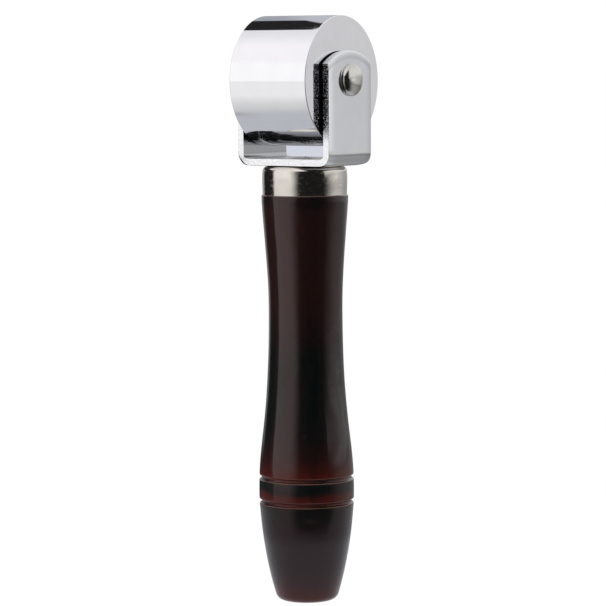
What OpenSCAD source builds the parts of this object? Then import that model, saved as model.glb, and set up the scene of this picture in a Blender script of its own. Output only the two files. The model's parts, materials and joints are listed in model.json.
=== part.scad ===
// Hand press roller: a polished steel roller on two ball bearings, riveted between the
// ears of a bent steel fork, which is screwed to a turned wooden handle with a ferrule.
// Millimetres. The tool stands on its butt, +Z up the handle, +X along the axle.

/* [Handle] */
// Height of the wooden body, from the butt to the ferrule
handle_h = 108.4; // [106:0.2:112]
// Radius of the flat that the butt stands on
butt_flat_r = 6.1; // [5:0.1:6.2]
// Radius of the rounded edge round the butt
butt_edge_r = 2.4; // [1.8:0.1:2.4]
// Radius of the swell that carries the ring band
band_r = 12.6; // [12:0.1:13.6]
// Radius of the waist
waist_r = 9.8; // [9:0.05:10.4]
// Radius of the wood just under the ferrule
neck_r = 11.5; // [11.3:0.05:12]
// Height of the middle of the ring band
band_z = 30; // [28:0.2:31]
// Distance between the two turned grooves
groove_pitch = 6.4; // [5:0.1:7]
// Width of each groove
groove_w = 1.3; // [0.8:0.1:1.6]

/* [Ferrule] */
// Outer radius of the ferrule
ferrule_r = 11.2; // [10.8:0.05:11.25]
// Height of the ferrule
ferrule_h = 7.6; // [6.4:0.1:9]
// Sheet thickness of the ferrule
ferrule_t = 0.6; // [0.4:0.1:0.8]
// Radius of the ferrule's rounded shoulder
shoulder_r = 1.5; // [1.2:0.1:2]

/* [Fork] */
// Width of the steel strap
strap_w = 20; // [18:0.5:21]
// Thickness of the strap
strap_t = 2; // [1.8:0.1:2.4]
// Outer radius of the two bends
bend_r = 3.1; // [2.8:0.1:4]
// Height of the axle above the underside of the fork
axle_h = 22.4; // [22:0.1:25]
// Height of the ears above the axle
ear_top = 7.9; // [7.9:0.1:9]
// Radius of the arc that ends each ear
ear_arc_r = 16.6; // [15:0.1:20]

/* [Roller] */
// Diameter of the roller
roller_d = 34.4; // [30:0.2:35]
// Width of the roller
roller_w = 24.2; // [20:0.1:30]
// Chamfer on the rims of the roller
roller_chamfer = 0.3; // [0.1:0.1:0.6]
// Gap between the roller and each ear
side_gap = 0.65; // [0.4:0.05:1]

/* [Bearings] */
// Outside diameter of a ball bearing
bearing_od = 14; // [14:0.1:14.4]
// Bore of a ball bearing, and the axle's diameter
bearing_id = 5; // [4.6:0.1:5.2]
// Width of a ball bearing
bearing_w = 5; // [4.8:0.1:6]
// Diameter of a ball
ball_d = 2.4; // [2.2:0.1:2.5]
// Number of balls in a bearing
ball_count = 7; // [6:1:8]

/* [Axle rivet] */
// Radius of the two heads
head_r = 4.3; // [3.8:0.1:4.6]
// Height of the straight rim of a head
head_rim = 0.4; // [0.4:0.1:1]
// Height of the dome on a head
head_dome = 1.9; // [1.6:0.1:2.4]

/* [Screw] */
// Diameter of the screw's shank and thread
screw_d = 4; // [3.5:0.1:4.2]
// Length of the screw under the top of its countersink
screw_l = 35; // [25:1:40]
// Diameter of the countersunk head
screw_head_d = 7.6; // [7:0.1:8]

/* [Hidden] */
$fn = 120;

left = -1;
right = 1;
fit = 0.01;             // radial clearance of a close fit
loose = 0.05;           // radial clearance of an easy one
past = 1;               // how far a cutter runs past what it cuts

// Levels up the tool
fork_z = handle_h + ferrule_h;
axle_z = fork_z + axle_h;
floor_z = fork_z + strap_t;

// Widths across the fork
roller_half = roller_w / 2;
inner_half = roller_half + side_gap;
outer_half = inner_half + strap_t;

// Ball bearing: races, shoulders and shields round the circle that the ball centres lie on
pitch_r = (bearing_od + bearing_id) / 4;
race_r = ball_d / 2 + 0.04;
inner_shoulder_r = pitch_r - 0.7;
outer_shoulder_r = pitch_r + 0.7;
shield_seat_r = pitch_r + 1.15;
shield_seat_depth = 0.45;
shield_t = 0.25;
shield_gap = 0.15;
cage_t = 0.8;
cage_half_w = ball_d / 2 + 0.4;
washer_r = inner_shoulder_r - 0.1;
spacer_r = inner_shoulder_r - 0.2;

// Screw: its thread, the smooth length under the head, and the cross recess
thread_pitch = 1.6;
core_r = screw_d * 0.35;
smooth_l = 12;
tip_l = 3;
csk_depth = (screw_head_d - screw_d) / 2;
head_rise = 0.4;
recess_l = 4;
recess_w = 0.8;
recess_depth = 1.2;
recess_tip = [0.4, 1, 1.8];     // radius at the bottom, radius at the top, depth

// Handle outline, as stations [height, radius, slope of the radius] joined by cubic curves
edge_tilt = 16.7;       // tilt of the barrel's wall where the butt's rounded edge meets it
edge_end = [butt_edge_r * (1 - sin(edge_tilt)),
            butt_flat_r + butt_edge_r * cos(edge_tilt), tan(edge_tilt)];
groove_low = band_z - groove_pitch / 2;
groove_high = band_z + groove_pitch / 2;
barrel_end = [groove_low - groove_w / 2, band_r - 0.05, 0.07];
band_mid = [band_z, band_r + 0.03, 0];
swell_start = [groove_high + groove_w / 2, band_r - 0.05, -0.02];
swell_end = [handle_h * 0.424, band_r * 0.91, -0.12];
waist = [handle_h * 0.72, waist_r, 0];
neck = [handle_h - 1.6, neck_r, 0.06];
stations = [edge_end, barrel_end, band_mid, swell_start, swell_end, waist, neck];
spans = 14;             // straight pieces in each cubic curve
edge_steps = 8;

// Break on the neck's top edge, under the ferrule
neck_edge = 0.25;

// Spigot that the ferrule sits on
spigot_r = ferrule_r - ferrule_t;
spigot_h = ferrule_h - ferrule_t;
spigot_chamfer = 1.2;

function hermite(a, b, t) = let (l = b[0] - a[0], u = 1 - t)
    a[1] * (1 + 2 * t) * u * u + b[1] * t * t * (3 - 2 * t)
    + l * (a[2] * t * u * u - b[2] * t * t * u);

function curve(a, b) = [for (i = [0 : spans - 1]) let (t = i / spans)
    [hermite(a, b, t), a[0] + t * (b[0] - a[0])]];

function arc(centre, r, from, to, steps) = [for (i = [0 : steps])
    let (a = from + (to - from) * i / steps) centre + r * [cos(a), sin(a)]];

handle_outline = concat(
    [[0, 0]],
    arc([butt_flat_r, butt_edge_r], butt_edge_r, -90, -edge_tilt, edge_steps),
    [for (i = [0 : len(stations) - 2]) each curve(stations[i], stations[i + 1])],
    [[neck_r, neck[0]], [neck_r, handle_h - neck_edge], [neck_r - neck_edge, handle_h],
     [spigot_r, handle_h], [spigot_r, handle_h + spigot_h - spigot_chamfer],
     [spigot_r - spigot_chamfer, handle_h + spigot_h], [0, handle_h + spigot_h]]);

// Turns a shape made round Z so that its top points along the axle, outwards on that side
module on_axle(side) {
    translate([0, 0, axle_z]) rotate([0, side * 90, 0]) children();
}

// The same, at the middle of that side's bearing
module at_bearing(side) {
    on_axle(side) translate([0, 0, roller_half - bearing_w / 2]) children();
}

module ring(inner, outer, low, high) {
    translate([0, 0, low]) difference() {
        cylinder(h = high - low, r = outer);
        translate([0, 0, -past]) cylinder(h = high - low + 2 * past, r = inner);
    }
}

module ball_groove() {
    rotate_extrude() translate([pitch_r, 0]) circle(r = race_r);
}

// One turned piece of lacquered wood, with a stepped hole for the screw
module handle() {
    color([0.16, 0.05, 0.04]) difference() {
        rotate_extrude() polygon(handle_outline);
        for (z = [groove_low, groove_high])
            translate([0, 0, z]) rotate_extrude() translate([band_r, 0]) circle(r = groove_w / 2);
        translate([0, 0, floor_z - screw_l - past]) cylinder(h = screw_l + past, r = core_r);
        translate([0, 0, floor_z - smooth_l]) cylinder(h = smooth_l, r = screw_d / 2 + fit);
    }
}

// Drawn sheet cap over the spigot, closed at the top but for the screw's hole
module ferrule() {
    hole_r = screw_d / 2 + 6 * loose;
    corner = [ferrule_r - shoulder_r, ferrule_h - shoulder_r];
    outline = concat(
        [[spigot_r, 0], [ferrule_r, 0]],
        arc(corner, shoulder_r, 0, 90, edge_steps),
        [[hole_r, ferrule_h], [hole_r, ferrule_h - ferrule_t]],
        arc(corner, shoulder_r - ferrule_t, 90, 0, edge_steps));
    color([0.75, 0.71, 0.66]) translate([0, 0, handle_h]) rotate_extrude() polygon(outline);
}

// Quarter bend between the fork's base and the ear on that side
module fork_bend(side) {
    translate([side * (outer_half - bend_r), 0, fork_z + bend_r]) intersection() {
        rotate([90, 0, 0]) difference() {
            cylinder(h = strap_w, r = bend_r, center = true);
            cylinder(h = strap_w + 2 * past, r = bend_r - strap_t, center = true);
        }
        translate([side > 0 ? 0 : -bend_r, -strap_w, -bend_r]) cube([bend_r, strap_w * 2, bend_r]);
    }
}

// Bent strap: a base between two ears, whose ends are sheared to an arc
module fork() {
    ear_end = axle_z + ear_top;
    color([0.86, 0.87, 0.89]) difference() {
        intersection() {
            union() {
                translate([-(outer_half - bend_r), -strap_w / 2, fork_z])
                    cube([2 * (outer_half - bend_r), strap_w, strap_t]);
                for (side = [left, right]) {
                    fork_bend(side);
                    translate([side > 0 ? inner_half : -outer_half, -strap_w / 2, fork_z + bend_r])
                        cube([strap_t, strap_w, ear_end - fork_z - bend_r]);
                }
            }
            union() {
                translate([-outer_half - past, -strap_w, fork_z - past])
                    cube([2 * (outer_half + past), 2 * strap_w, axle_z - fork_z + past]);
                translate([0, 0, ear_end - ear_arc_r]) rotate([0, 90, 0])
                    cylinder(h = 2 * (outer_half + past), r = ear_arc_r, center = true);
            }
        }
        on_axle(right) cylinder(h = 2 * (outer_half + past), r = bearing_id / 2 + loose, center = true);
        translate([0, 0, fork_z - past]) cylinder(h = strap_t + 2 * past, r = screw_d / 2 + 2 * loose);
        translate([0, 0, floor_z - csk_depth])
            cylinder(h = csk_depth, r1 = screw_d / 2 + fit, r2 = screw_head_d / 2 + loose);
    }
}

// Raised countersunk wood screw with a cross recess; its thread is a row of ridges
module fork_screw() {
    ridges = floor((screw_l - smooth_l - tip_l) / thread_pitch);
    dome_r = (pow(screw_head_d / 2, 2) + pow(head_rise, 2)) / (2 * head_rise);
    thread = [for (i = [0 : ridges - 1]) each
        [[core_r, -smooth_l - i * thread_pitch], [screw_d / 2, -smooth_l - (i + 0.5) * thread_pitch]]];
    outline = concat(
        [[0, 0], [screw_head_d / 2, 0], [screw_d / 2, -csk_depth], [screw_d / 2, -smooth_l + 0.5]],
        thread,
        [[core_r, -smooth_l - ridges * thread_pitch], [0, -screw_l]]);
    color([0.72, 0.71, 0.68]) translate([0, 0, floor_z]) difference() {
        union() {
            rotate_extrude() polygon(outline);
            intersection() {
                translate([0, 0, head_rise - dome_r]) sphere(r = dome_r);
                cylinder(h = head_rise + past, r = screw_head_d / 2 - loose);
            }
        }
        for (turn = [45, 135]) rotate([0, 0, turn])
            translate([-recess_l / 2, -recess_w / 2, -recess_depth])
                cube([recess_l, recess_w, recess_depth + head_rise + past]);
        translate([0, 0, -recess_tip[2]])
            cylinder(h = recess_tip[2], r1 = recess_tip[0], r2 = recess_tip[1]);
    }
}

// Domed head of the rivet, standing on an ear
module rivet_head() {
    dome_r = (pow(head_r, 2) + pow(head_dome, 2)) / (2 * head_dome);
    intersection() {
        translate([0, 0, head_rim + head_dome - dome_r]) sphere(r = dome_r);
        cylinder(h = head_rim + head_dome + past, r = head_r);
    }
}

// Solid axle, headed on both sides of the fork
module axle_rivet() {
    color([0.66, 0.64, 0.61]) union() {
        on_axle(right) cylinder(h = 2 * outer_half + head_rim, r = bearing_id / 2 - fit, center = true);
        for (side = [left, right]) on_axle(side) translate([0, 0, outer_half]) rivet_head();
    }
}

// Tube that keeps the two inner rings apart when the rivet is closed
module bearing_spacer() {
    half = roller_half - bearing_w;
    color([0.6, 0.6, 0.6]) on_axle(right) ring(bearing_id / 2 + fit, spacer_r, -half, half);
}

// Thin washer between an inner ring and an ear
module side_washer(side) {
    color([0.7, 0.7, 0.7]) on_axle(side) ring(bearing_id / 2 + fit, washer_r, roller_half, inner_half);
}

// Turned steel roller, bored through, with a seat for a bearing in each end
module roller() {
    r = roller_d / 2;
    c = roller_chamfer;
    seat_floor = roller_half - bearing_w;
    one_end = [[r, roller_half - c], [r - c, roller_half], [bearing_od / 2, roller_half],
        [bearing_od / 2, seat_floor], [outer_shoulder_r, seat_floor]];
    other_end = [for (i = [len(one_end) - 1 : -1 : 0]) [one_end[i][0], -one_end[i][1]]];
    color([0.88, 0.88, 0.9]) on_axle(right) rotate_extrude() polygon(concat(one_end, other_end));
}

module inner_ring(side) {
    color([0.62, 0.63, 0.65]) at_bearing(side) difference() {
        ring(bearing_id / 2, inner_shoulder_r, -bearing_w / 2, bearing_w / 2);
        ball_groove();
    }
}

module outer_ring(side) {
    color([0.62, 0.63, 0.65]) at_bearing(side) difference() {
        ring(outer_shoulder_r, bearing_od / 2, -bearing_w / 2, bearing_w / 2);
        ball_groove();
        for (end = [-1, 1])
            translate([0, 0, end * (bearing_w - shield_seat_depth + past) / 2])
                cylinder(h = shield_seat_depth + past, r = shield_seat_r, center = true);
    }
}

// Places a shape at every ball's centre, its top pointing outwards
module at_balls() {
    for (i = [0 : ball_count - 1])
        rotate([0, 0, i * 360 / ball_count]) translate([pitch_r, 0, 0]) rotate([0, 90, 0]) children();
}

// Ring that keeps the balls apart, with a drilled pocket for each
module bearing_cage(side) {
    color([0.72, 0.6, 0.38]) at_bearing(side) difference() {
        ring(pitch_r - cage_t / 2, pitch_r + cage_t / 2, -cage_half_w, cage_half_w);
        at_balls() cylinder(h = 3 * cage_t, r = ball_d / 2 + loose, center = true);
    }
}

module bearing_balls(side) {
    color([0.8, 0.8, 0.82]) at_bearing(side) at_balls() sphere(d = ball_d, $fn = 60);
}

// Sheet shield pressed into the outer ring; end is 1 on the outer face and -1 on the inner
module bearing_shield(side, end) {
    seat = bearing_w / 2 - shield_seat_depth;
    color([0.68, 0.69, 0.7]) at_bearing(side) rotate([end > 0 ? 0 : 180, 0, 0])
        ring(inner_shoulder_r + shield_gap, shield_seat_r, seat, seat + shield_t);
}

handle();
ferrule();
fork();
fork_screw();
axle_rivet();
bearing_spacer();
side_washer(left);  // left_side_washer
side_washer(right);  // right_side_washer
roller();
inner_ring(left);  // left_bearing_inner_ring
inner_ring(right);  // right_bearing_inner_ring
outer_ring(left);  // left_bearing_outer_ring
outer_ring(right);  // right_bearing_outer_ring
bearing_cage(left);  // left_bearing_cage
bearing_cage(right);  // right_bearing_cage
bearing_balls(left);  // left_bearing_balls
bearing_balls(right);  // right_bearing_balls
bearing_shield(left, 1);  // left_bearing_outer_shield
bearing_shield(right, 1);  // right_bearing_outer_shield
bearing_shield(left, -1);  // left_bearing_inner_shield
bearing_shield(right, -1);  // right_bearing_inner_shield
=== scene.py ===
"""Hand press roller on a pale studio floor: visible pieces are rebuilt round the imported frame.

Metres, +Z up the handle, +X along the axle.
Turned pieces take their outline from the CAD node that they stand for.
"""

import json
import math

import bpy
import numpy as np
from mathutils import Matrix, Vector, noise


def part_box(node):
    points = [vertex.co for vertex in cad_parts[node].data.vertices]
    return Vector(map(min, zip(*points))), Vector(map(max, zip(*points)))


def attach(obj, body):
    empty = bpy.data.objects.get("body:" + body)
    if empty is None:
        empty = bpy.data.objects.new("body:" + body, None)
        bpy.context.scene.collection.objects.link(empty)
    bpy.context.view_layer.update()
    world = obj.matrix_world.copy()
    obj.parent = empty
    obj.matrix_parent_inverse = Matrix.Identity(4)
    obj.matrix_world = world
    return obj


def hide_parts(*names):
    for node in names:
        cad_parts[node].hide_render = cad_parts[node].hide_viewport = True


MM = 0.001
HAIR = 0.01 * MM            # slack in telling whether a point lies on a face

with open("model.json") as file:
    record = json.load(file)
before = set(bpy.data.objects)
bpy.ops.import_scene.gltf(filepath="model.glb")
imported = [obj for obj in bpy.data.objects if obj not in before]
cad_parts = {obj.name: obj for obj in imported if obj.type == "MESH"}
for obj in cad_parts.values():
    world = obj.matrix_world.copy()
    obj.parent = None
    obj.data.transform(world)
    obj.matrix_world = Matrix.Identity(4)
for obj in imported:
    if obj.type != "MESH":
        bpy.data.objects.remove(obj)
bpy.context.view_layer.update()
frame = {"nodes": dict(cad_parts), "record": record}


# ---------------------------------------------------------------- places, from the frame

FORK_LOW, FORK_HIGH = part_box("fork")
HANDLE_LOW, HANDLE_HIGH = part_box("handle")
FERRULE_LOW, FERRULE_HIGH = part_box("ferrule")
ROLLER_LOW, ROLLER_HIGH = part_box("roller")
RIVET_LOW, RIVET_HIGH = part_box("axle_rivet")
WASHER_LOW, WASHER_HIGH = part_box("right_side_washer")

AXLE = Vector((0, 0, (ROLLER_LOW.z + ROLLER_HIGH.z) / 2))
ROLLER_R = ROLLER_HIGH.z - AXLE.z
RIVET_HEAD_R = RIVET_HIGH.z - AXLE.z
EAR_OUTER = FORK_HIGH.x
EAR_INNER = WASHER_HIGH.x
STRAP_T = EAR_OUTER - EAR_INNER
STRAP_HALF = FORK_HIGH.y
BEND_R = 3.1 * MM           # outer radius of the CAD fork's two bends
EAR_ARC_R = 16.6 * MM       # radius of the arc that ends each ear
EDGE_ROLL = 0.13 * MM       # radius that shearing leaves on the strap's outer edges
TORN_DEPTH = 0.085 * MM     # how deep the grain of the sheared edges goes
ROLLOVER = 3.8 * MM         # how far in from the strap's edges its outer face curves away
ROLLOVER_DROP = 0.23 * MM
ACROSS, THROUGH, ROLL_STEPS = 60, 12, 4     # steps over the strap's face, thickness and rolled edge
RIVET_RIM = 0.38 * MM       # the upright part of a rivet head, under its dome
RIVET_LIFT = 0.28 * MM      # the heads were closed off centre, by this much upwards
BORE_MOST = 3 * MM          # the screw's holes are narrower than this, and everything outside them is wider
GROOVES = (26.8 * MM, 33.2 * MM)
GROOVE_HALF = 0.65 * MM
GROOVE_DEPTH = 0.6 * MM
GROOVE_ZONE = 1.2 * MM      # within this of a groove the handle's outline has finer steps
LIP_CRISP = 7               # higher is sharper


# ---------------------------------------------------------------- mesh helpers

def add_piece(name, verts, faces, body, nodes, materials, face_slots=None, marks=None):
    """A mesh that rides on a body, stands for CAD nodes and may carry float marks on its points."""
    mesh = bpy.data.meshes.new(name)
    mesh.from_pydata([tuple(v) for v in verts], [], faces)
    for material in materials:
        mesh.materials.append(material)
    if face_slots is not None:
        mesh.polygons.foreach_set("material_index", face_slots)
    for key, values in (marks or {}).items():
        mesh.attributes.new(key, "FLOAT", "POINT").data.foreach_set("value", values)
    mesh.polygons.foreach_set("use_smooth", [True] * len(faces))
    mesh.set_sharp_from_angle(angle=math.radians(40))
    mesh.update()
    piece = bpy.data.objects.new(name, mesh)
    bpy.context.scene.collection.objects.link(piece)
    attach(piece, body)
    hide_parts(*nodes)
    return piece


def cad_corners(node, about):
    """(radius, place along the axis) of a turned CAD node's corners; about is 'z' or 'x'."""
    rows = np.array([tuple(v.co) for v in frame["nodes"][node].data.vertices])
    if about == "z":
        return np.hypot(rows[:, 0], rows[:, 1]), rows[:, 2]
    return np.hypot(rows[:, 1], rows[:, 2] - AXLE.z), rows[:, 0]


def distinct(points, grid=0.005 * MM):
    """Points without repeats, in their order."""
    kept = []
    for p in points:
        if not kept or abs(p[0] - kept[-1][0]) > grid or abs(p[1] - kept[-1][1]) > grid:
            kept.append(tuple(float(c) for c in p))
    return kept


def flow(points, step, corner=math.radians(14)):
    """Runs a smooth curve through points, which keeps its sharp corners, in steps of about that length."""
    p = np.array(points)
    leg = np.diff(p, axis=0)
    length = np.maximum(np.linalg.norm(leg, axis=1), 1e-9)
    way = leg / length[:, None]
    out = []
    for i in range(len(leg)):
        start, end = way[i], way[i]
        if i > 0 and way[i - 1] @ way[i] > math.cos(corner):
            start = way[i - 1] * length[i] + way[i] * length[i - 1]
            start = start / np.linalg.norm(start)
        if i + 1 < len(leg) and way[i] @ way[i + 1] > math.cos(corner):
            end = way[i] * length[i + 1] + way[i + 1] * length[i]
            end = end / np.linalg.norm(end)
        count = max(1, round(length[i] / step))
        for t in np.arange(count) / count:
            u = 1 - t
            out.append(p[i] * (1 + 2 * t) * u * u + p[i + 1] * t * t * (3 - 2 * t)
                       + length[i] * (start * t * u * u - end * t * t * u))
    out.append(p[-1])
    return np.array(out)


def soften(points, reach):
    """Rounds an outline's corners: each point moves towards the mean of its neighbours within reach."""
    p = np.array(points)
    far = np.concatenate([[0], np.cumsum(np.linalg.norm(np.diff(p, axis=0), axis=1))])
    gap = np.gradient(far)
    out = p.copy()
    for i in range(1, len(p) - 1):
        near = np.abs(far - far[i]) < reach
        weight = (1 - np.abs(far[near] - far[i]) / reach) * gap[near]
        out[i] = (p[near] * weight[:, None]).sum(0) / weight.sum()
    return out


def thinned(points, bend=math.radians(2)):
    """Drops points of a closed outline where it runs straight, but keeps one in forty."""
    p = np.array(points)
    before, after = p - np.roll(p, 1, axis=0), np.roll(p, -1, axis=0) - p
    turn = np.abs(before[:, 0] * after[:, 1] - before[:, 1] * after[:, 0])
    sharp = turn > math.sin(bend) * np.linalg.norm(before, axis=1) * np.linalg.norm(after, axis=1)
    keep = sharp | np.roll(sharp, 1) | np.roll(sharp, -1)
    keep[::40] = True
    return p[keep]


def turned(outline, segments, about, shape=None, closed=False):
    """Verts and faces of an outline of (radius, place) turned about an axis, 'z' or 'x'.

    shape(radius, place, turn) gives the radius where it varies round the piece.
    """
    verts, faces, rings = [], [], []
    for r, along in outline:
        if r < 1e-7:
            rings.append([len(verts)])
            verts.append(place_round(0, along, 0, about))
            continue
        ring = []
        for k in range(segments):
            turn = 2 * math.pi * k / segments
            radius = shape(r, along, turn) if shape else r
            ring.append(len(verts))
            verts.append(place_round(radius, along, turn, about))
        rings.append(ring)
    pairs = list(zip(rings, rings[1:]))
    if closed:
        pairs.append((rings[-1], rings[0]))
    for low, high in pairs:
        for k in range(segments):
            n = (k + 1) % segments
            if len(low) == 1:
                faces.append((low[0], high[n], high[k]))
            elif len(high) == 1:
                faces.append((low[k], low[n], high[0]))
            else:
                faces.append((low[k], low[n], high[n], high[k]))
    return verts, faces


def place_round(radius, along, turn, about):
    """A point at a radius and a turn round the tool's axis or round the axle."""
    if about == "z":
        return (radius * math.cos(turn), radius * math.sin(turn), along)
    return (along, radius * math.cos(turn), AXLE.z + radius * math.sin(turn))


def ripple(p, scale, seed):
    """Smooth noise from -1 to 1 at a point, with features of about 1 / scale metres."""
    return noise.noise(Vector(p) * scale + Vector((seed * 7.3, seed * 3.1, seed * 5.7)))


# ---------------------------------------------------------------- material helpers

class Nodes:
    """A node tree built line by line: each call adds one node and returns its output."""

    def __init__(self, owner):
        owner.use_nodes = True
        self.nodes = owner.node_tree.nodes
        self.links = owner.node_tree.links

    def add(self, kind, **settings):
        node = self.nodes.new(kind)
        for key, value in settings.items():
            setattr(node, key, value)
        return node

    def plug(self, socket, value):
        if isinstance(value, bpy.types.NodeSocket):
            self.links.new(value, socket)
        else:
            socket.default_value = value

    def ramp(self, value, low, high, to_low=0.0, to_high=1.0):
        node = self.add("ShaderNodeMapRange", interpolation_type="SMOOTHSTEP")
        self.plug(node.inputs["Value"], value)
        for key, number in (("From Min", low), ("From Max", high), ("To Min", to_low), ("To Max", to_high)):
            self.plug(node.inputs[key], number)
        return node.outputs["Result"]

    def math(self, operation, *values):
        node = self.add("ShaderNodeMath", operation=operation)
        for socket, value in zip(node.inputs, values):
            self.plug(socket, value)
        return node.outputs[0]

    def mix(self, share, a, b):
        node = self.add("ShaderNodeMix", data_type="RGBA")
        self.plug(node.inputs["Factor"], share)
        self.plug(node.inputs[6], (*a, 1) if isinstance(a, tuple) else a)
        self.plug(node.inputs[7], (*b, 1) if isinstance(b, tuple) else b)
        return node.outputs[2]


class Shader(Nodes):
    """A procedural material on one Principled shader, patterned by the object's own coordinates."""

    def __init__(self, name):
        self.material = bpy.data.materials.new(name)
        super().__init__(self.material)
        self.bsdf = self.nodes["Principled BSDF"]
        self.place = self.add("ShaderNodeTexCoord").outputs["Object"]

    def surface(self, **values):
        """Sets the surface shader's own sockets, by name with _ for a space."""
        for key, value in values.items():
            self.plug(self.bsdf.inputs[key.replace("_", " ")], value)

    def stretched(self, scale):
        node = self.add("ShaderNodeVectorMath", operation="MULTIPLY")
        self.plug(node.inputs[0], self.place)
        node.inputs[1].default_value = scale
        return node.outputs[0]

    def noise(self, scale, detail=3, rough=0.5, warp=0, stretch=(1, 1, 1)):
        node = self.add("ShaderNodeTexNoise")
        self.plug(node.inputs["Vector"], self.stretched(stretch))
        self.plug(node.inputs["Scale"], scale)
        self.plug(node.inputs["Detail"], detail)
        self.plug(node.inputs["Roughness"], rough)
        self.plug(node.inputs["Distortion"], warp)
        return node.outputs["Fac"]

    def cells(self, scale, stretch=(1, 1, 1)):
        node = self.add("ShaderNodeTexVoronoi")
        self.plug(node.inputs["Vector"], self.stretched(stretch))
        self.plug(node.inputs["Scale"], scale)
        return node.outputs["Distance"]

    def height(self):
        return self.along("Z")

    def along(self, axis):
        node = self.add("ShaderNodeSeparateXYZ")
        self.plug(node.inputs[0], self.place)
        return node.outputs[axis]

    def mark(self, name):
        return self.add("ShaderNodeAttribute", attribute_name=name).outputs["Fac"]

    def bump(self, *layers):
        """layers are (height, depth in metres); each bump bends the one before it."""
        last = None
        for height, depth in layers:
            node = self.add("ShaderNodeBump")
            self.plug(node.inputs["Height"], height)
            self.plug(node.inputs["Distance"], depth)
            if last:
                self.plug(node.inputs["Normal"], last)
            last = node.outputs["Normal"]
        self.plug(self.bsdf.inputs["Normal"], last)


def chrome(name, tint, metal, haze, wave, scuff):
    """Bright plate: haze is its roughness, wave and scuff are bump depths in metres."""
    s = Shader(name)
    cloud = s.noise(160, detail=4)
    dust = s.noise(2600, detail=2)
    scratch = s.noise(900, detail=5, stretch=(1, 1, 0.12))
    dull = s.mark("dull")
    shade = tuple(c * 0.97 for c in tint)
    plate = s.mix(s.ramp(cloud, 0.35, 0.7), tint, shade)
    gloss = s.math("ADD", s.ramp(cloud, 0.3, 0.75, haze, haze * 1.6), s.ramp(dust, 0.66, 0.8, 0, 0.04))
    s.surface(
        Base_Color=s.mix(dull, plate, tuple(c * 0.55 for c in tint)),
        Metallic=metal,
        Roughness=s.math("MAXIMUM", gloss, s.math("MULTIPLY", dull, 0.09)),
    )
    s.bump((s.noise(55, detail=2), wave), (scratch, scuff))
    return s.material


def sheared_steel(name):
    """The torn, plated edge of the strap: bright, with fine grains and pits. Where the torn mark is set,
    its colour is painted dark with bright burrs in it: painted shade where the roller shades the edge.
    """
    s = Shader(name)
    grain = s.noise(1900, detail=4, rough=0.6)
    pits = s.noise(3100, detail=2)
    # torn marks the burred edge, and also where its colour is painted dark as shade from the roller
    torn = s.mark("torn")
    outer = s.ramp(s.along("X"), EAR_OUTER - 1.5 * MM, EAR_OUTER - 0.2 * MM, 0.0, 0.06)
    burrs = s.ramp(s.math("ADD", s.noise(2900, detail=1), outer), 0.565, 0.625)
    plated = s.mix(s.ramp(pits, 0.58, 0.74), (0.94, 0.94, 0.95), (0.45, 0.46, 0.48))
    # painted shade: a dark colour where the roller shades the edge, with bright burrs in it
    painted_shade_and_burrs = s.mix(burrs, (0.16, 0.17, 0.19), (0.95, 0.95, 0.97))
    s.surface(
        Base_Color=s.mix(torn, plated, painted_shade_and_burrs),
        Metallic=1.0,
        Roughness=s.math("ADD", s.ramp(grain, 0.35, 0.7, 0.09, 0.2),
                         s.math("MULTIPLY", s.math("MULTIPLY", burrs, torn), 0.42)),
    )
    s.bump((grain, 0.075 * MM), (pits, 0.03 * MM), (burrs, s.math("MULTIPLY", torn, 0.09 * MM)))
    return s.material


def nickel(name, tint, haze, peel, scuff):
    """Warmer plate with a fine peel and fine scuffs."""
    s = Shader(name)
    cloud = s.noise(240, detail=4)
    fine = s.noise(2400, detail=3)
    lines = s.noise(1400, detail=6, stretch=(1, 0.15, 1))
    s.surface(
        Base_Color=s.mix(s.ramp(cloud, 0.3, 0.75), tint, tuple(c * 0.9 for c in tint)),
        Metallic=1.0,
        Roughness=s.ramp(lines, 0.4, 0.72, haze, haze * 2.2),
    )
    s.bump((fine, peel), (lines, scuff), (s.noise(90, detail=2), 0.015 * MM))
    return s.material


def plain_steel(name, tint, haze):
    """Turned or ground steel inside the roller, with fine tool marks round it."""
    s = Shader(name)
    marks = s.noise(2200, detail=4, stretch=(1, 0.2, 0.2))
    stain = s.noise(300, detail=3)
    s.surface(
        Base_Color=s.mix(s.ramp(stain, 0.4, 0.75), tint, tuple(c * 0.8 for c in tint)),
        Metallic=1.0,
        Roughness=s.ramp(marks, 0.3, 0.7, haze, haze * 1.7),
    )
    s.bump((marks, 0.01 * MM))
    return s.material


# Colour of the stained wood by height in mm, as (height, red, green, blue)
STAIN = (
    (0.0, 0.085, 0.009, 0.007),
    (2.0, 0.060, 0.009, 0.008),
    (4.5, 0.034, 0.009, 0.010),
    (8.0, 0.012, 0.008, 0.012),
    (20.5, 0.008, 0.008, 0.012),
    (22.5, 0.002, 0.007, 0.007),
    (26.0, 0.001, 0.007, 0.007),
    (26.9, 0.095, 0.014, 0.009),
    (29.0, 0.075, 0.012, 0.008),
    (30.2, 0.003, 0.008, 0.009),
    (32.8, 0.001, 0.009, 0.01),
    (33.6, 0.11, 0.013, 0.009),
    (35.5, 0.065, 0.011, 0.008),
    (38.5, 0.024, 0.008, 0.007),
    (44.0, 0.005, 0.007, 0.007),
    (52.0, 0.001, 0.0065, 0.0065),
    (66.0, 0.001, 0.0065, 0.0065),
    (71.0, 0.010, 0.007, 0.007),
    (80.0, 0.022, 0.009, 0.008),
    (104.0, 0.023, 0.01, 0.009),
    (106.2, 0.008, 0.007, 0.007),
    (120.0, 0.008, 0.007, 0.007),
)


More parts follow.
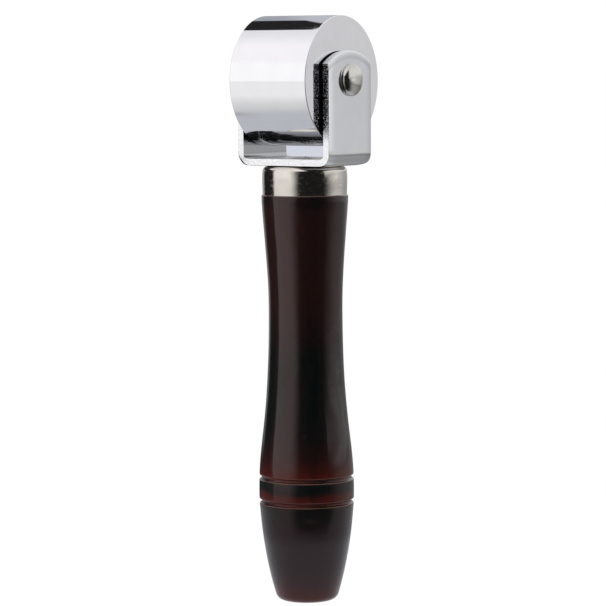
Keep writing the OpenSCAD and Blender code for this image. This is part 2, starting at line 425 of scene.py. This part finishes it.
def lacquered_wood(name):
    """Dark sprayed stain in bands, faint grain under it and a glossy coat with small faults."""
    s = Shader(name)
    drift = s.math("MULTIPLY_ADD", s.noise(110, detail=3), 4 * MM, -2 * MM)
    level = s.math("ADD", s.height(), drift)
    stops = s.add("ShaderNodeValToRGB")
    top = STAIN[-1][0]
    s.plug(stops.inputs["Fac"], s.math("DIVIDE", level, top * MM))
    points = stops.color_ramp.elements
    while len(points) < len(STAIN):
        points.new(0.5)
    for point, (at, *colour) in zip(points, STAIN):
        point.position = at / top
        point.color = (*colour, 1)
    grain = s.noise(520, detail=6, rough=0.6, warp=0.6, stretch=(1, 1, 0.07))
    pores = s.noise(1800, detail=3, stretch=(1, 1, 0.05))
    grained = s.mix(s.ramp(grain, 0.40, 0.78, 0, 0.55), stops.outputs["Color"], (0.008, 0.006, 0.006))
    cloud = s.math("MULTIPLY", s.ramp(s.noise(260, detail=3), 0.52, 0.8, 0, 0.25),
                   s.ramp(s.height(), 66 * MM, 74 * MM, 0.1, 1.0))
    blotch = s.mix(cloud, grained, (0.040, 0.010, 0.008))
    thin = s.math("ADD", s.ramp(s.height(), 28 * MM, 38 * MM, 0.32, 0.0),
                  s.ramp(s.height(), 58 * MM, 70 * MM, 0.16, 0.0))
    s.surface(
        Base_Color=s.mix(s.mark("worn"), blotch, (0.34, 0.17, 0.12)),
        Roughness=s.ramp(pores, 0.4, 0.7, 0.32, 0.42),
        Specular_IOR_Level=0.35,
        Specular_Tint=(1.0, 0.42, 0.38, 1.0),
        Coat_Weight=s.math("SUBTRACT", 1.0,
                           s.math("MULTIPLY", s.ramp(s.height(), 15 * MM, 19 * MM), thin)),
        Coat_Roughness=0.045,
        Coat_IOR=1.42,
    )
    peel = s.noise(420, detail=2)
    s.bump((s.noise(120, detail=2, stretch=(1, 1, 0.5)), 0.12 * MM),
           (peel, 0.014 * MM), (pores, 0.003 * MM))
    s.links.new(s.bsdf.inputs["Normal"].links[0].from_socket, s.bsdf.inputs["Coat Normal"])
    return s.material


MATERIALS = {
    "roller": chrome("roller_chrome", (0.93, 0.93, 0.95), 0.99, 0.015, 0.012 * MM, 0.0003 * MM),
    "strap": chrome("strap_chrome", (0.84, 0.85, 0.87), 0.98, 0.07, 0.03 * MM, 0.002 * MM),
    "sheared": sheared_steel("sheared_edge_with_painted_shade"),
    "ferrule": nickel("ferrule_nickel", (0.77, 0.72, 0.655), 0.11, 0.004 * MM, 0.003 * MM),
    "rivet": nickel("rivet_nickel", (0.72, 0.70, 0.65), 0.12, 0.006 * MM, 0.012 * MM),
    "wood": lacquered_wood("lacquered_wood"),
}


# ---------------------------------------------------------------- the handle and its ferrule

def in_groove(along):
    """Whether a height is at one of the CAD handle's grooves, its lips among them."""
    return any(abs(along - g) < GROOVE_HALF + 0.25 * MM for g in GROOVES)


def handle_outline():
    """The CAD handle's outline without its grooves, then the stepped hole for the screw."""
    radius, along = cad_corners("handle", "z")
    outer = sorted((z, -r) for r, z in zip(radius, along) if r > BORE_MOST and not in_groove(z))
    inner = sorted((-z, -r) for r, z in zip(radius, along) if 0.1 * MM < r < BORE_MOST)
    outside = distinct([(-r, z) for z, r in outer])
    hole = distinct([(-r, -z) for z, r in inner])
    wood = flow([(0, HANDLE_LOW.z)] + outside, 0.5 * MM)
    wood[:, 1] = np.maximum(wood[:, 1], HANDLE_LOW.z)
    extra = [(np.interp(z, wood[:, 1], wood[:, 0]), z)
             for g in GROOVES for z in np.arange(g - GROOVE_ZONE, g + GROOVE_ZONE, 0.06 * MM)]
    body = [tuple(p) for p in wood if not any(abs(p[1] - g) < GROOVE_ZONE for g in GROOVES)]
    below = [p for p in body if p[1] < GROOVES[0]]
    above = [p for p in body if p[1] > GROOVES[-1]]
    grooved = sorted(extra + body[len(below):-len(above)], key=lambda p: p[1])
    return below + grooved + above + hole + [(0, hole[-1][1])]


def groove_cut(along, turn):
    """Depth of the turned grooves at a place: round floors and soft lips, uneven round the wood."""
    depth = 0
    for i, g in enumerate(GROOVES):
        spot = (math.cos(turn) * 0.6, math.sin(turn) * 0.6, i)
        middle = g + 0.05 * MM * ripple(spot, 2.0, 1)
        half = GROOVE_HALF * (1 + 0.10 * ripple(spot, 3.0, 2))
        off = min(2, abs(along - middle) / half)
        soft = math.log1p(math.exp(LIP_CRISP * (1 - off ** 2.4))) / LIP_CRISP
        depth += GROOVE_DEPTH * (1 + 0.12 * ripple(spot, 4.0, 3)) * soft
    return depth


# Small faults in the lacquer, as (height, turn in degrees, half length, half width, depth), in mm;
# a depth below zero is a drip
FAULTS = (
    (45.4, -59, 0.6, 0.9, 0.10),
    (44.8, -56, 0.5, 0.5, -0.07),
    (99.5, -62, 0.9, 0.5, 0.05),
    (22.2, -97, 0.9, 1.4, 0.08),
    (22.0, -52, 1.0, 2.0, 0.07),
    (70.0, 40, 1.2, 0.5, 0.05),
    (52.0, 150, 0.8, 0.8, 0.08),
    (88.0, 210, 1.4, 0.4, 0.05),
    (17.0, 95, 0.7, 0.7, 0.06),
)


def fault(along, turn, radius):
    """Depth of the lacquer's faults at a place."""
    depth = 0
    for height, degrees, half_length, half_width, deep in FAULTS:
        up = (along / MM - height) / half_length
        swing = (turn - math.radians(degrees) + math.pi) % (2 * math.pi) - math.pi
        side = swing * radius / MM / half_width
        depth += deep * MM * math.exp(-(up * up + side * side))
    return depth


def wood_radius(r, along, turn):
    """Radius of the lacquered surface, with its grooves and faults. The bore and the spigot stay round."""
    if r < BORE_MOST or along > FERRULE_LOW.z - 0.05 * MM:
        return r
    spot = (math.cos(turn) * 0.012, math.sin(turn) * 0.012, along * 0.7)
    sag = 0.04 * MM * ripple(spot, 150, 4)
    fade = min(1, along / (4 * MM))
    return r - groove_cut(along, turn) + fade * (sag - fault(along, turn, r))


def worn_lip(co):
    """How far the lacquer is rubbed through to brown at a point: thin lines on the lips of the grooves."""
    turn = math.atan2(co[1], co[0])
    spot = (math.cos(turn), math.sin(turn), co[2] * 40)
    lips = [(g + side * GROOVE_HALF, 1.0) for g in GROOVES for side in (-1, 1)] + [(FERRULE_LOW.z, 0.8)]
    worn = 0
    for lip, most in lips:
        off = abs(co[2] - lip - 0.05 * MM * ripple(spot, 2, 5)) / (0.10 * MM)
        worn = max(worn, most * max(0, 1 - off) * (0.65 + 0.35 * ripple(spot, 3.5, 6)))
    return min(1, worn * 1.5)


def make_handle():
    verts, faces = turned(handle_outline(), 240, "z", wood_radius)
    add_piece("turned_handle", verts, faces, "handle_and_fork", ["handle"],
              [MATERIALS["wood"]], marks={"worn": [worn_lip(v) for v in verts]})


def make_ferrule():
    """Drawn cap: the CAD section with a soft shoulder and a rolled lower lip."""
    radius, along = cad_corners("ferrule", "z")
    skin = 0.55 * MM            # just under the sheet's thickness: deeper corners are on its inner side
    wall, roof = FERRULE_HIGH.x - skin, FERRULE_HIGH.z - skin
    corners = list(zip(radius, along))
    outer = sorted((z, -r) for r, z in corners if r > wall or (z > roof and r > BORE_MOST))
    hole = sorted((-z, r) for r, z in corners if r < BORE_MOST)
    inner = sorted((-z, r) for r, z in corners if BORE_MOST <= r <= wall and z <= roof)
    outline = distinct([(-r, z) for z, r in outer] + [(r, -z) for z, r in hole + inner])
    curve = soften(flow(outline + outline[:1], 0.12 * MM), 0.25 * MM)[:-1]
    verts, faces = turned(curve, 200, "z", closed=True)
    add_piece("drawn_ferrule", verts, faces, "handle_and_fork", ["ferrule"],
              [MATERIALS["ferrule"]])


# ---------------------------------------------------------------- the fork

def bend_curve(ease=0.8, steps=200):
    """Outer line of a pressed bend, which starts and ends gently: turn, across and up at each step.

    It is as long as it has to be to pass the corner as closely as the CAD's round bend does.
    """
    t = np.arange(steps + 1) / steps
    turn = math.pi / 2 * (t - ease * np.sin(2 * math.pi * t) / (2 * math.pi))
    middle = (turn[1:] + turn[:-1]) / 2
    across = np.concatenate([[0], np.cumsum(np.cos(middle))]) / steps
    up = np.concatenate([[0], np.cumsum(np.sin(middle))]) / steps
    half = steps // 2
    length = BEND_R * (math.sqrt(2) - 1) / math.hypot(across[-1] - across[half], up[half])
    return turn, across * length, up * length, length


BEND_TURN, BEND_ACROSS, BEND_UP, BEND_LENGTH = bend_curve()
BASE_HALF = EAR_OUTER - BEND_ACROSS[-1]                 # the strap's flat base, from its middle to a bend
EAR_LENGTH = FORK_HIGH.z - FORK_LOW.z - BEND_UP[-1]     # an ear, from its bend to its end


def fork_line(s):
    """The strap's outer line in the X-Z plane, at a distance s from the middle of its base.

    Gives the place and the outward way.
    """
    side = 1 if s >= 0 else -1
    d = abs(s)
    if d <= BASE_HALF:
        return Vector((s, 0, FORK_LOW.z)), Vector((0, 0, -1))
    beyond = d - BASE_HALF
    if beyond <= BEND_LENGTH:
        steps = np.linspace(0, BEND_LENGTH, len(BEND_TURN))
        turn, across, up = (float(np.interp(beyond, steps, row))
                            for row in (BEND_TURN, BEND_ACROSS, BEND_UP))
        out = Vector((side * math.sin(turn), 0, -math.cos(turn)))
        return Vector((side * (BASE_HALF + across), 0, FORK_LOW.z + up)), out
    height = FORK_LOW.z + BEND_UP[-1] + beyond - BEND_LENGTH
    return Vector((side * EAR_OUTER, 0, height)), Vector((side, 0, 0))


def strap_section(edge=EDGE_ROLL):
    """Loop round the strap's section as (across, inward): drawn-down outer corners, square inner ones."""
    flat = STRAP_HALF - edge
    roll = [math.radians(90 * i / ROLL_STEPS) for i in range(1, ROLL_STEPS + 1)]
    loop = [(flat * (2 * i / ACROSS - 1), 0.0) for i in range(ACROSS + 1)]
    loop += [(flat + edge * math.sin(a), edge * (1 - math.cos(a))) for a in roll]
    loop += [(STRAP_HALF, edge + (STRAP_T - edge) * i / THROUGH) for i in range(1, THROUGH)]
    loop += [(STRAP_HALF * (1 - 2 * i / ACROSS), STRAP_T) for i in range(ACROSS + 1)]
    loop += [(-STRAP_HALF, STRAP_T - (STRAP_T - edge) * i / THROUGH) for i in range(1, THROUGH)]
    loop += [(-flat - edge * math.sin(a), edge * (1 - math.cos(a))) for a in reversed(roll)]
    return loop


def fork_rows():
    """Distances along the strap's outer line for each ring of its mesh, and how far its end is rolled."""
    ear_start = BASE_HALF + BEND_LENGTH
    end = ear_start + EAR_LENGTH
    rows = [(BASE_HALF * i / 30, 0.0) for i in range(30)]
    rows += [(BASE_HALF + BEND_LENGTH * i / 24, 0.0) for i in range(24)]
    rows += [(ear_start + (EAR_LENGTH - EDGE_ROLL) * i / 90, 0.0) for i in range(91)]
    for i in range(1, ROLL_STEPS + 1):
        a = math.radians(90 * i / ROLL_STEPS)
        rows.append((end - EDGE_ROLL * (1 - math.sin(a)), EDGE_ROLL * (1 - math.cos(a))))
    return [(-d, roll) for d, roll in reversed(rows[1:])] + rows


def torn(p, across):
    """A point on a sheared edge, pushed in by its grain."""
    depth = 0.5 + 0.5 * ripple(p, 1500, 11) + 0.3 * ripple(p, 3300, 12)
    return Vector((p.x, p.y - math.copysign(TORN_DEPTH * max(0, depth), across), p.z))


# Knocks in the right ear's face, as (across, height over the fork's foot, radius, depth) in mm
KNOCKS = ((1.4, 6.5, 0.7, 0.05), (2.2, 5.8, 0.4, -0.015), (5.5, 12.0, 0.6, 0.03), (-7.0, 24.0, 1.2, 0.03))


def knocked(p):
    """A point on the right ear's outer face, sunk where the ear was knocked."""
    sink = sum(deep * MM * math.exp(-((p.y / MM - y) ** 2 + ((p.z - FORK_LOW.z) / MM - z) ** 2) / r ** 2)
               for y, z, r, deep in KNOCKS)
    return Vector((p.x - sink, p.y, p.z))


def rolled_over(y, z):
    """How far shearing has drawn the outer face down at a place, near the strap's sides and ends."""
    end = FORK_HIGH.z - EAR_ARC_R + math.sqrt(EAR_ARC_R ** 2 - y * y)
    rows = ((STRAP_HALF - abs(y), ROLLOVER, 1.0), (end - z, 0.7 * ROLLOVER, 0.6))
    return ROLLOVER_DROP * sum(share * max(0, 1 - gap / reach) ** 2 for gap, reach, share in rows)


def make_fork():
    """The bent strap: its section swept round the U, each end brought to the ear's arc."""
    straight = BASE_HALF + BEND_LENGTH
    rows = fork_rows()
    sheared = [abs(y) > STRAP_HALF - HAIR for y, inward in strap_section()]
    n = len(sheared)
    left_bend = BASE_HALF + BEND_LENGTH / 2
    verts, dull, torn_and_shaded = [], [], []
    for s, roll in rows:
        drawn = math.exp(-((s + left_bend) / (0.6 * BEND_R)) ** 2)
        for (y, inward), rough in zip(strap_section(EDGE_ROLL * (1 + 6 * drawn)), sheared):
            d = abs(s)
            if d > straight:
                arc = EAR_ARC_R - math.sqrt(EAR_ARC_R ** 2 - y * y)
                d -= arc * ((d - straight) / EAR_LENGTH) ** 1.5
            place, out = fork_line(math.copysign(d, s))
            drop = rolled_over(y, place.z) * (1 - inward / STRAP_T)
            p = place - out * (max(inward, roll) + drop) + Vector((0, y, 0))
            if rough:
                p = torn(p, y)
            elif inward == 0 and p.x > EAR_OUTER - 2 * ROLLOVER_DROP - HAIR:
                p = knocked(p)
            verts.append(p)
            dull.append(1.0 if inward == STRAP_T and not rough else 0.0)
            # painted shade mask, also the burrs' mask: on the right ear it rises from 6 to 11 mm over the
            # foot, where the roller's shade begins on the sheared edge; near the left bend it is a quarter
            # of drawn
            torn_and_shaded.append(between(p.z - FORK_LOW.z, 6 * MM, 11 * MM) if s > 0 else 0.25 * drawn)
    faces = [(r * n + k, r * n + (k + 1) % n, (r + 1) * n + (k + 1) % n, (r + 1) * n + k)
             for r in range(len(rows) - 1) for k in range(n)]
    slots = [1 if sheared[k] and sheared[(k + 1) % n] and not dull[k] * dull[(k + 1) % n] else 0
             for r in range(len(rows) - 1) for k in range(n)]
    for row, turn_over in ((0, True), (len(rows) - 1, False)):
        ends = [tuple(row * n + k for k in f) for f in strap_end()]
        faces += [tuple(reversed(f)) if turn_over else f for f in ends]
        slots += [0] * len(ends)
    add_piece("bent_fork", verts, faces, "handle_and_fork", ["fork"],
              [MATERIALS["strap"], MATERIALS["sheared"]], slots, {"dull": dull, "torn": torn_and_shaded})


def strap_end():
    """Faces that close an end of the strap, as corners of its section's loop."""
    side = ROLL_STEPS + THROUGH - 1
    inner = ACROSS + side + 1
    n = 2 * (ACROSS + 1) + 2 * side
    faces = [(i, i + 1, inner + ACROSS - i - 1, inner + ACROSS - i) for i in range(ACROSS)]
    faces.append(tuple(range(ACROSS, inner + 1)))
    faces.append(tuple(range(inner + ACROSS, n)) + (0,))
    return faces


# ---------------------------------------------------------------- the roller and its axle

def make_roller():
    """Turned and plated: the CAD section with polished rims, the left one rounded more than the right."""
    radius, along = cad_corners("roller", "x")
    half = ROLLER_HIGH.x
    chamfer = min(half - abs(x) for r, x in zip(radius, along) if r > ROLLER_R - HAIR)
    worn = 0.35 * chamfer
    seat_r = sorted(set(round(float(r), 6) for r in radius))[1]     # the bearing's seat
    bore_r = float(min(radius))
    seat = max(abs(x) for r, x in zip(radius, along) if r < bore_r + HAIR)
    tread = [(ROLLER_R, x) for x in np.linspace(-half + chamfer, half - worn, 25)]
    right_end = [(ROLLER_R - worn, half), (seat_r, half), (seat_r, seat), (bore_r, seat)]
    left_end = [(r, -x) for r, x in reversed(right_end[1:])] + [(ROLLER_R - chamfer, -half)]
    outline = tread + right_end + left_end
    curve = soften(flow(outline + outline[:1], 0.05 * MM), 0.12 * MM)[:-1]
    curve = thinned(curve)
    verts, faces = turned(curve, 256, "x", closed=True)
    add_piece("polished_roller", verts, faces, "roller", ["roller"], [MATERIALS["roller"]])


def make_rivet():
    """Solid rivet: two domed heads over an upright rim, closed a little unevenly and off centre."""
    radius, along = cad_corners("axle_rivet", "x")
    shank = float(min(r for r in radius if r > 1 * MM))
    dome = RIVET_HIGH.x - EAR_OUTER - RIVET_RIM
    arc = [math.pi / 2 * i / 24 for i in range(24)]
    head = [(RIVET_HEAD_R * math.cos(a) ** 0.86, EAR_OUTER + RIVET_RIM + dome * math.sin(a)) for a in arc]
    half = [(shank, 0), (shank, EAR_OUTER),
            (RIVET_HEAD_R - 0.15 * MM, EAR_OUTER), (RIVET_HEAD_R, EAR_OUTER + 0.2 * MM)]
    right = half + head + [(0, RIVET_HIGH.x)]
    left = [(r, -x) for r, x in reversed(right[1:])]
    outline = soften(flow(left + right, 0.1 * MM), 0.2 * MM)

    def uneven(r, x, turn):
        if abs(x) < EAR_OUTER:
            return r
        return r * (1 - 0.004 * (1 + math.cos(2 * turn + 0.7)) - 0.003 * (1 + math.cos(3 * turn + 1.9)))

    verts, faces = turned(outline, 128, "x", uneven)
    verts = [(x, y, z + RIVET_LIFT * between(abs(x), EAR_INNER, EAR_OUTER - HAIR)) for x, y, z in verts]
    add_piece("closed_rivet", verts, faces, "handle_and_fork", ["axle_rivet"],
              [MATERIALS["rivet"]])


def dress_inner_parts():
    """Procedural steel, brass and plate on the CAD nodes that stay."""
    looks = {
        "screw_steel": nickel("screw_plate", (0.62, 0.60, 0.56), 0.2, 0.006 * MM, 0.006 * MM),
        "plain_steel": plain_steel("turned_steel", (0.55, 0.55, 0.56), 0.28),
        "washer_steel": plain_steel("washer_plate", (0.62, 0.62, 0.63), 0.3),
        "bearing_steel": plain_steel("ground_steel", (0.58, 0.59, 0.61), 0.18),
        "cage_brass": plain_steel("cage_brass", (0.62, 0.46, 0.22), 0.25),
        "ball_steel": plain_steel("lapped_steel", (0.72, 0.72, 0.74), 0.06),
        "shield_steel": plain_steel("pressed_steel", (0.6, 0.61, 0.62), 0.24),
    }
    for row in frame["record"]["subparts"]:
        material = looks.get(row["material_slot"])
        if material:
            mesh = frame["nodes"][row["node"]].data
            mesh.materials.clear()
            mesh.materials.append(material)


# ---------------------------------------------------------------- the studio

VIEW_AZIMUTH = 34.53        # degrees from -Y towards +X
VIEW_ELEVATION = 4.70
VIEW_DISTANCE = 0.8099
VIEW_ROLL = -0.374
VIEW_TARGET = Vector((-0.55 * MM, -0.38 * MM, 79.5 * MM))
VIEW_LENS = 181.0
FLOOR_REACH = 3.0
BACKDROP_REACH = 6.0        # the cameras of other views see no further than 8 m
TABLE_REACH = 3.4
CARD_FAR = 2.6              # metres from the gap under the roller to the card behind it


def way(azimuth, elevation):
    """Unit vector for an azimuth from the camera's own, to its right, and an elevation, in degrees."""
    turn = math.radians(VIEW_AZIMUTH + azimuth)
    lift = math.radians(elevation)
    return Vector((math.sin(turn) * math.cos(lift), -math.cos(turn) * math.cos(lift), math.sin(lift)))


def make_camera():
    camera = bpy.data.objects.new("camera", bpy.data.cameras.new("camera"))
    bpy.context.scene.collection.objects.link(camera)
    back = way(0, VIEW_ELEVATION)
    camera.location = VIEW_TARGET + back * VIEW_DISTANCE
    facing = (-back).to_track_quat("-Z", "Y").to_matrix()
    roll = math.radians(VIEW_ROLL)
    right = facing.col[0] * math.cos(roll) + facing.col[1] * math.sin(roll)
    up = facing.col[1] * math.cos(roll) - facing.col[0] * math.sin(roll)
    facing.col[0], facing.col[1] = right, up
    camera.rotation_euler = facing.to_euler()
    camera.data.lens = VIEW_LENS
    camera.data.sensor_width = 36.0
    camera.data.clip_start = 0.01
    camera.data.clip_end = 50
    bpy.context.scene.camera = camera


def stage_mesh(name, verts, faces, material, shows_in="camera"):
    """Part of the studio, which shows either to the camera only or to the metal and the lacquer only."""
    mesh = bpy.data.meshes.new(name)
    mesh.from_pydata([tuple(v) for v in verts], [], faces)
    mesh.materials.append(material)
    thing = bpy.data.objects.new(name, mesh)
    bpy.context.scene.collection.objects.link(thing)
    thing.visible_camera = shows_in == "camera"
    thing.visible_glossy = shows_in == "gloss"
    thing.visible_diffuse = thing.visible_shadow = thing.visible_transmission = False
    return thing


class Surroundings(Nodes):
    """The studio's light by direction, in degrees: a turn from the camera's side and a lift."""

    def __init__(self, world, light):
        super().__init__(world)
        self.glow = self.nodes["Background"].inputs["Color"]
        parts = self.add("ShaderNodeSeparateXYZ")
        self.plug(parts.inputs[0], self.add("ShaderNodeTexCoord").outputs["Generated"])
        self.x, self.y, self.z = parts.outputs
        heading = self.math("ARCTAN2", self.x, self.math("MULTIPLY", self.y, -1.0))
        turn = self.math("SUBTRACT", self.math("DEGREES", heading), VIEW_AZIMUTH)
        self.turn = self.math("WRAP", turn, 180.0, -180.0)
        self.lift = self.math("DEGREES", self.math("ARCSINE", self.z))
        self.light = light

    def between(self, value, low, high, feather_low, feather_high):
        """1 between low and high, fading to 0 over the feathers outside them."""
        rise = self.ramp(value, low - feather_low, low)
        fall = self.ramp(value, high, high + feather_high, 1.0, 0.0)
        return self.math("MULTIPLY", rise, fall)

    def window(self, turns, lifts, soft_turns, soft_lifts):
        return self.math("MULTIPLY", self.between(self.turn, *turns, *soft_turns),
                         self.between(self.lift, *lifts, *soft_lifts))

    def lay(self, share, colour):
        """Paints a colour, or a colour socket, over what is there."""
        self.light = self.mix(share, self.light, colour)

    def finish(self):
        self.plug(self.glow, self.light)


def make_light():
    """A big softbox on the left that reaches overhead, a weaker one on the right, black cards between."""
    world = bpy.data.worlds.new("studio")
    dark = (0.012, 0.012, 0.013)
    w = Surroundings(world, dark)

    low = w.mix(w.ramp(w.turn, 54, 88), dark, (0.92, 0.92, 0.92))
    low = w.mix(w.ramp(w.turn, 95, 109), low, (0.61, 0.61, 0.62))
    low = w.mix(w.ramp(w.turn, 113, 134), low, (0.40, 0.40, 0.42))
    right = w.mix(w.ramp(w.turn, 56, 78), dark, (0.20, 0.20, 0.20))
    right = w.mix(w.ramp(w.turn, 72, 96), right, (0.46, 0.46, 0.46))
    right = w.mix(w.ramp(w.turn, 100, 122), right, (0.27, 0.27, 0.28))
    right = w.mix(w.ramp(w.turn, 140, 160), right, (0.40, 0.40, 0.42))
    right = w.mix(w.ramp(w.lift, 0.5, 2.5), low, right)
    right = w.mix(w.window((57, 168), (9, 60), (3, 12), (10, 6)), right, (0.88, 0.88, 0.88))
    w.lay(w.window((46, 200), (-90, 44), (1, 1), (1, 12)), right)
    w.lay(w.window((-200, -150), (-90, 20), (1, 10), (1, 8)), (0.42, 0.42, 0.44))
    w.lay(w.window((-92, -46), (-90, 75), (3, 32), (1, 10)), (1.03, 1.02, 1.03))
    w.lay(w.window((-92, -46), (-90, -0.6), (3, 32), (1, 0.5)), (0.87, 0.87, 0.87))

    back = w.math("DIVIDE", w.y, w.z)
    limit = w.math("MULTIPLY", w.math("MAXIMUM", w.math("ADD", w.x, 0.5635), 0.0), 75.0)
    over = w.ramp(w.math("SUBTRACT", back, limit), 0.20, 0.23, 1.0, 0.0)
    over = w.math("MULTIPLY", w.ramp(w.z, 0.40, 0.50), over)
    over = w.math("MULTIPLY", over, w.ramp(w.math("DIVIDE", w.x, w.z), 0.5, 1.2, 1.0, 0.0))
    w.lay(over, w.mix(w.ramp(back, -0.6, 0.2), (0.99, 0.97, 0.99), (0.80, 0.80, 0.83)))

    start = w.math("MULTIPLY", w.math("MAXIMUM", w.math("ADD", w.x, 0.5658), 0.0), 80.0)
    behind = w.ramp(w.math("ADD", back, start), 0.92, 1.06)
    behind = w.math("MULTIPLY", w.ramp(w.z, 0.10, 0.20), behind)
    behind = w.math("MULTIPLY", behind, w.ramp(w.x, -0.558, -0.554, 1.0, 0.0))
    w.lay(behind, w.mix(w.ramp(w.x, -0.573, -0.563), (0.36, 0.38, 0.42), (0.50, 0.52, 0.56)))
    w.finish()
    bpy.context.scene.world = world


def between(value, low, high):
    """0 below low, 1 above high and smooth between them."""
    share = min(1, max(0, (value - low) / (high - low)))
    return share * share * (3 - 2 * share)


def table_glow(reach, turn):
    """The table's light, by distance from the tool in metres and turn in degrees from the camera's side."""
    wide = 8 * between(reach, 0.8, 1.3)
    start = 6 * (1 - between(reach, 0.25, 0.60)) - 94
    left = between(turn, start, start + 3) * (1 - between(turn, wide - 48, -14))
    later = 12 * between(reach, 0.8, 1.6)
    fall = 0.26 + 0.10 * between(reach, 0.2, 0.35)
    right = between(turn, 50, 94) * (1 - fall * between(turn, 98 + later, 128 + later))
    back = (1 - between(turn, -150, -138)) * between(reach, 0.35, 0.8)
    far_left = 0.58 + 0.30 * between(reach, 0.10, 0.40)
    far_right = 0.39 - 0.10 * between(reach, 0.5, 0.75) + 0.33 * between(reach, 0.8, 1.4)
    front = (1 - between(turn, -85, -30)) + between(turn, 40, 100)
    pool = 0.063 + 0.10 * front
    near = 1 - between(reach, pool * 0.8, pool * 1.15)
    far = max(left * far_left, right * far_right, back * 0.42, 0.012)
    light = far + (0.50 - far) * near
    return (light * (1 - 0.03 * near), light * (1 + 0.01 * near), light * (1 + 0.07 * near))


def make_table():
    """The table as the metal and the lacquer mirror it: pale round the tool, black in front of it."""
    rings, segments = 56, 180
    first = 4 * MM              # reach of the innermost ring; the others grow evenly in scale
    material = bpy.data.materials.new("table_glow")
    material.use_nodes = True
    nodes, links = material.node_tree.nodes, material.node_tree.links
    nodes.clear()
    glow = nodes.new("ShaderNodeEmission")
    mark = nodes.new("ShaderNodeAttribute")
    mark.attribute_name = "glow"
    links.new(mark.outputs["Color"], glow.inputs["Color"])
    links.new(glow.outputs[0], nodes.new("ShaderNodeOutputMaterial").inputs["Surface"])
    verts, tones = [], []
    for j in range(rings + 1):
        reach = first * (TABLE_REACH / first) ** (j / rings)
        for i in range(segments):
            turn = 360 * i / segments - 180
            p = way(turn, 0) * reach
            verts.append((p.x, p.y, -0.1 * MM))
            tones.append(table_glow(reach, turn))
    faces = [(j * segments + i, (j + 1) * segments + i,
              (j + 1) * segments + (i + 1) % segments, j * segments + (i + 1) % segments)
             for j in range(rings) for i in range(segments)]
    table = stage_mesh("table", verts, faces, material, "gloss")
    table.visible_diffuse = True
    colours = table.data.attributes.new("glow", "FLOAT_COLOR", "POINT")
    colours.data.foreach_set("color", [c for tone in tones for c in (*tone, 1)])


def disc(radius, height, rings=8, segments=64):
    """Flat round sheet of faces at a height."""
    verts, faces = [(0, 0, height)], []
    for j in range(rings):
        for i in range(segments):
            p = way(360 * i / segments, 0) * radius * (j + 1) / rings
            verts.append((p.x, p.y, height))
    for i in range(segments):
        n = (i + 1) % segments
        faces.append((0, 1 + i, 1 + n))
        for j in range(rings - 1):
            low, high = 1 + j * segments, 1 + (j + 1) * segments
            faces.append((low + i, high + i, high + n, low + n))
    return verts, faces


def sphere(radius, rings=24, segments=48):
    """Grid of faces all round the object."""
    verts = [way(360 * i / segments, -90 + 180 * j / rings) * radius
             for j in range(rings + 1) for i in range(segments)]
    faces = [(j * segments + i, j * segments + (i + 1) % segments,
              (j + 1) * segments + (i + 1) % segments, (j + 1) * segments + i)
             for j in range(rings) for i in range(segments)]
    return verts, faces


def paint(name, colour, glow=(1, 1, 1)):
    """Matt paint with a glow of its own, so that the paper behind and below the tool stays pale."""
    material = bpy.data.materials.new(name)
    material.use_nodes = True
    surface = material.node_tree.nodes["Principled BSDF"]
    surface.inputs["Base Color"].default_value = (*colour, 1)
    surface.inputs["Roughness"].default_value = 1.0
    surface.inputs["Specular IOR Level"].default_value = 0.0
    surface.inputs["Emission Color"].default_value = (*glow, 1)
    surface.inputs["Emission Strength"].default_value = 1.0
    return material


def make_paper():
    """Plain white floor and backdrop, for the camera only: the metal mirrors the studio's light instead."""
    stage_mesh("floor", *disc(FLOOR_REACH, 0.0), paint("floor_white", (0.03, 0.03, 0.03)))
    stage_mesh("backdrop", *sphere(BACKDROP_REACH), paint("backdrop_white", (0.03, 0.03, 0.03)))


def make_gap_card():
    """A small grey-blue card far behind the tool, which shows only through the gap under the roller. It is
    no lamp: its own glow, dimmer than the white paper, paints the grey-blue tone seen there.
    """
    eye = bpy.context.scene.camera.location
    gap = Vector((0, 0, (ROLLER_LOW.z + FORK_LOW.z + STRAP_T) / 2))
    middle = gap + (gap - eye).normalized() * CARD_FAR
    scale = (CARD_FAR + (gap - eye).length) / (gap - eye).length
    wide, tall = 9.5 * MM * scale, 3.2 * MM * scale
    side, up = way(90, 0), Vector((0, 0, 1))
    verts = [middle + side * x * wide + up * y * tall for x, y in ((-1, -1), (1, -1), (1, 1), (-1, 1))]
    stage_mesh("gap_card", verts, [(0, 1, 2, 3)], paint("painted_gap_glow", (0, 0, 0), (0.63, 0.66, 0.735)))


# ---------------------------------------------------------------- the scene

bpy.context.scene.view_settings.view_transform = "Standard"
make_camera()
make_handle()
make_ferrule()
make_fork()
make_roller()
make_rivet()
dress_inner_parts()
make_light()
make_table()
make_paper()
make_gap_card()
